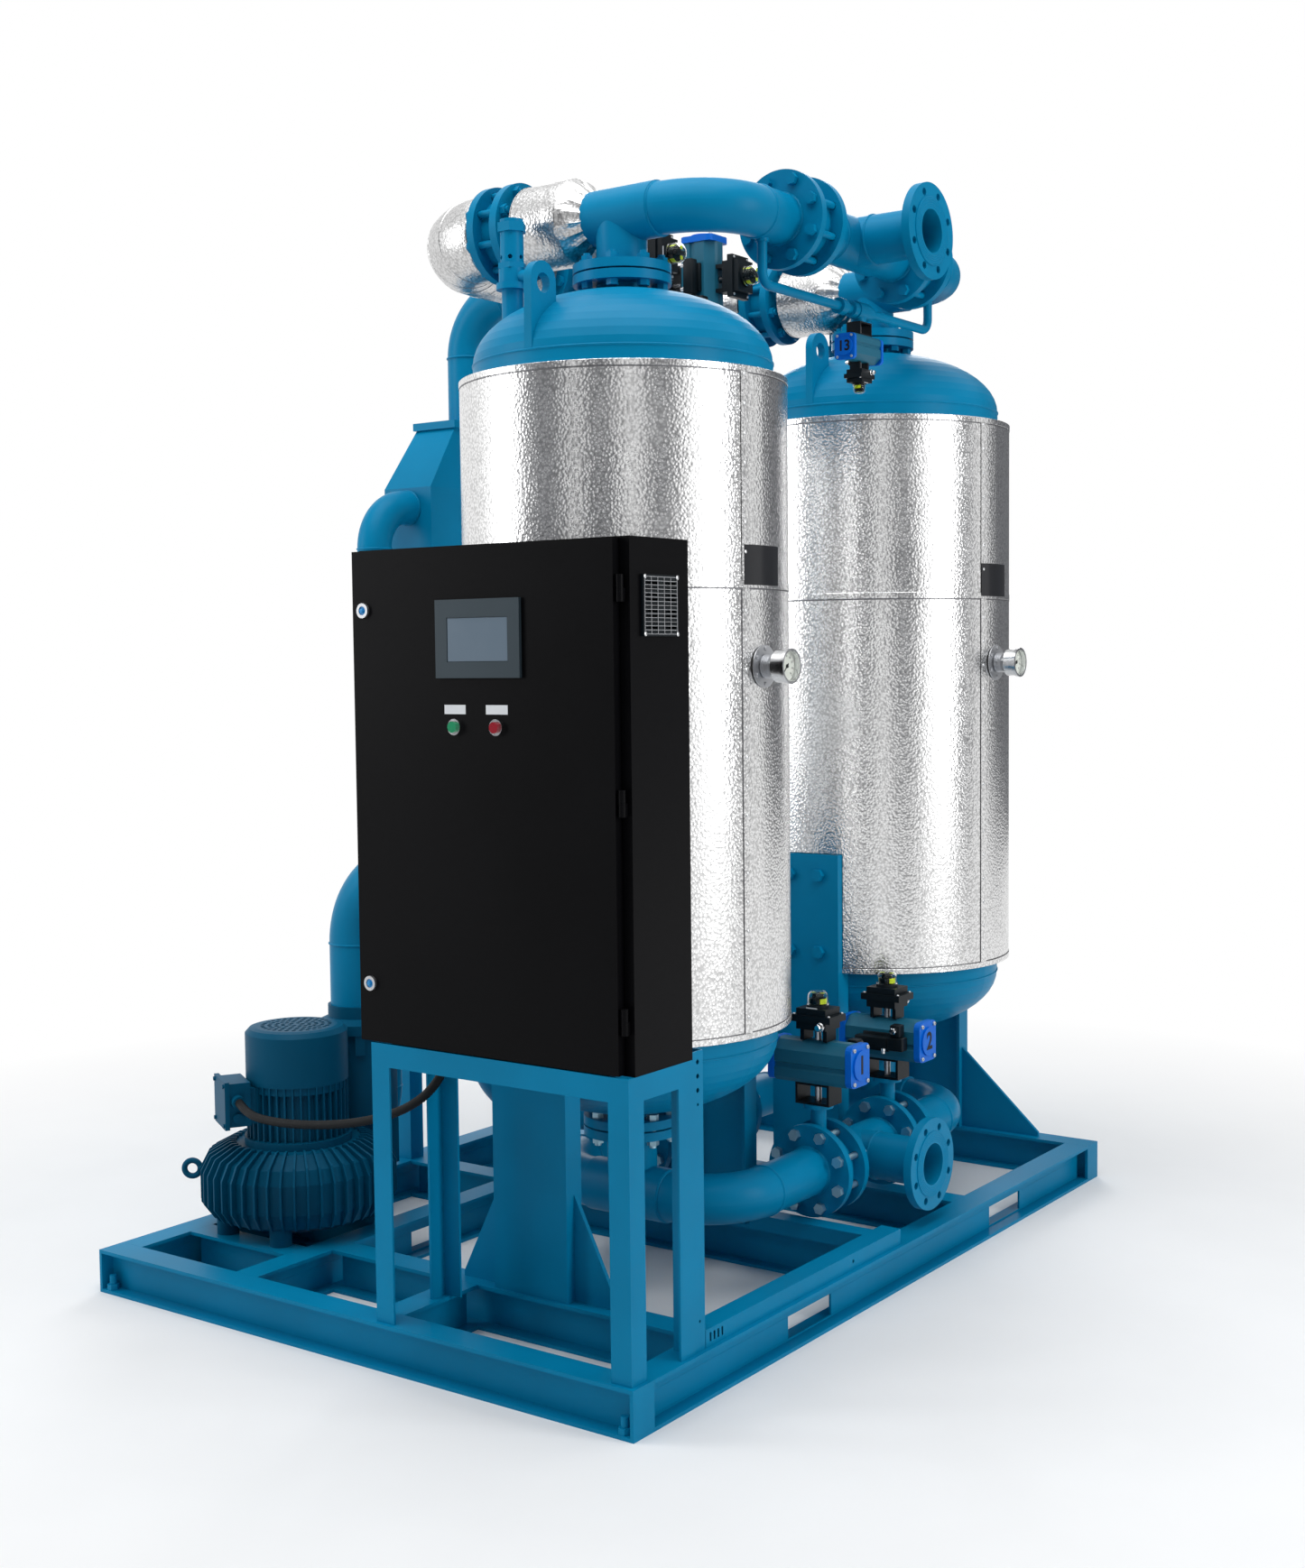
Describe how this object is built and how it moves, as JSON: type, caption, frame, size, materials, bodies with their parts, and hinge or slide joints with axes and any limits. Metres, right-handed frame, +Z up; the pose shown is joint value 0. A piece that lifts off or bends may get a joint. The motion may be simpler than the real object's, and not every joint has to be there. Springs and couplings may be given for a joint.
{
  "type": "desiccant air dryer",
  "caption": "Skid-mounted twin-tower desiccant dryer with valve headers, a side blower and heater, and a control cabinet, for drying compressed air.",
  "frame": {"origin": "centre of the skid's underside", "axes": "+Z up, -Y the cabinet's door side, +X the pipe flanges' side"},
  "size_m": [1.54, 2.207, 2.561],
  "materials": {
    "blue_paint": "gloss enamel",
    "zinc_steel": "zinc plated",
    "valve_steel": "machined",
    "jacket_sheet": "bright stucco sheet",
    "desiccant": "loose beads",
    "mineral_wool": "fibrous",
    "gauge_case": "polished",
    "needle_black": "matt black",
    "black_sheet": "fine texture",
    "black_plastic": "satin",
    "button_green": "gloss",
    "button_red": "gloss",
    "bezel_grey": "satin",
    "device_grey": "satin",
    "machine_casting": "blue machine enamel",
    "machine_sheet": "blue machine enamel",
    "conduit_rubber": "matt",
    "drive_grey": "anodised",
    "cap_blue": "gloss"
  },
  "bodies": {
    "base": {"skid_outer_beams": "blue_paint", "skid_inner_beams": "blue_paint", "frame_bolts": "blue_paint", "cabinet_stand": "blue_paint", "cable_ducts": "blue_paint", "tower_1_vessel": "blue_paint", "tower_2_vessel": "blue_paint", "desiccant_beds": "desiccant", "bed_screens": "zinc_steel", "insulation": "mineral_wool", "tower_1_jacket": "jacket_sheet", "tower_2_jacket": "jacket_sheet", "tower_legs": "blue_paint", "safety_valves": "blue_paint", "pressure_gauges": "gauge_case", "cabinet_body": "black_sheet", "door_hinges": "black_sheet", "vent_grille": "black_plastic", "control_panel": "device_grey", "blower_housing": "machine_casting", "motor_frame": "machine_casting", "motor_cowl": "machine_sheet", "terminal_box": "machine_casting", "motor_conduit": "conduit_rubber", "filter_canister": "machine_sheet", "blower_pipes": "blue_paint", "heater_casing": "blue_paint", "heater_elements": "zinc_steel", "lower_spool_1": "blue_paint", "lower_spool_2": "blue_paint", "inlet_tee": "blue_paint", "exhaust_tee": "blue_paint", "upper_spool_1": "blue_paint", "upper_spool_2": "blue_paint", "outlet_tee": "blue_paint", "hot_header": "blue_paint", "pressurising_line": "blue_paint", "hot_cladding": "jacket_sheet", "wafer_valves": "blue_paint", "valve_actuators": "drive_grey", "actuator_caps": "cap_blue", "switch_boxes": "black_plastic", "flange_bolts": "blue_paint"},
    "door": {"cabinet_door": "black_sheet", "touch_panel": "black_plastic", "button_bezels": "bezel_grey"},
    "upper_lock": {"lock_upper": "zinc_steel"},
    "lower_lock": {"lock_lower": "zinc_steel"},
    "start_push": {"start_button": "button_green"},
    "stop_push": {"stop_button": "button_red"},
    "rotor": {"blower_rotor": "zinc_steel"},
    "inlet_stem_1": {"inlet_disc_1": "valve_steel"},
    "inlet_stem_2": {"inlet_disc_2": "valve_steel"},
    "exhaust_stem_1": {"exhaust_disc_1": "valve_steel"},
    "exhaust_stem_2": {"exhaust_disc_2": "valve_steel"},
    "hot_stem_1": {"hot_disc_1": "valve_steel"},
    "hot_stem_2": {"hot_disc_2": "valve_steel"},
    "filling_stem": {"fill_stem": "valve_steel"},
    "needle_1": {"gauge_1_needle": "needle_black"},
    "needle_2": {"gauge_2_needle": "needle_black"}
  },
  "joints": [
    {"name": "door_hinge", "type": "hinge", "parent": "base", "child": "door", "pos_m": [0.746, -1.08, 1.183], "axis": [0, 0, 1], "range_deg": [0, 110]},
    {"name": "lock_upper_turn", "type": "hinge", "parent": "door", "child": "upper_lock", "pos_m": [0.112, -1.08, 1.561], "axis": [0, -1, 0], "range_deg": [0, 90]},
    {"name": "lock_lower_turn", "type": "hinge", "parent": "door", "child": "lower_lock", "pos_m": [0.112, -1.08, 0.805], "axis": [0, -1, 0], "range_deg": [0, 90]},
    {"name": "start_press", "type": "slide", "parent": "door", "child": "start_push", "axis": [0, 1, 0], "range_m": [0, 0.003], "stiffness_N_per_m": 400},
    {"name": "stop_press", "type": "slide", "parent": "door", "child": "stop_push", "axis": [0, 1, 0], "range_m": [0, 0.003], "stiffness_N_per_m": 400},
    {"name": "blower_spin", "type": "hinge", "parent": "base", "child": "rotor", "pos_m": [-0.53, -0.69, 0.216], "axis": [0, 0, 1], "continuous": true},
    {"name": "inlet_valve_1_turn", "type": "hinge", "parent": "base", "child": "inlet_stem_1", "pos_m": [0.5315, -0.02, 0.245], "axis": [0, 0, 1], "range_deg": [0, 90]},
    {"name": "inlet_valve_2_turn", "type": "hinge", "parent": "base", "child": "inlet_stem_2", "pos_m": [0.5315, 0.32, 0.245], "axis": [0, 0, 1], "range_deg": [0, 90]},
    {"name": "exhaust_valve_1_turn", "type": "hinge", "parent": "base", "child": "exhaust_stem_1", "pos_m": [0.0165, -0.02, 0.245], "axis": [0, 0, 1], "range_deg": [0, 90]},
    {"name": "exhaust_valve_2_turn", "type": "hinge", "parent": "base", "child": "exhaust_stem_2", "pos_m": [0.0165, 0.32, 0.245], "axis": [0, 0, 1], "range_deg": [0, 90]},
    {"name": "hot_valve_1_turn", "type": "hinge", "parent": "base", "child": "hot_stem_1", "pos_m": [-0.2605, -0.02, 2.442], "axis": [1, 0, 0], "range_deg": [0, 90]},
    {"name": "hot_valve_2_turn", "type": "hinge", "parent": "base", "child": "hot_stem_2", "pos_m": [-0.2605, 0.32, 2.442], "axis": [1, 0, 0], "range_deg": [0, 90]},
    {"name": "fill_valve_turn", "type": "hinge", "parent": "base", "child": "filling_stem", "pos_m": [0.5315, 0.19, 2.288], "axis": [0, 0, -1], "range_deg": [0, 90]},
    {"name": "gauge_1_sweep", "type": "hinge", "parent": "base", "child": "needle_1", "pos_m": [0.697, -0.42, 1.44], "axis": [-1, 0, 0], "range_deg": [0, 270]},
    {"name": "gauge_2_sweep", "type": "hinge", "parent": "base", "child": "needle_2", "pos_m": [0.697, 0.72, 1.44], "axis": [-1, 0, 0], "range_deg": [0, 270]}
  ]
}
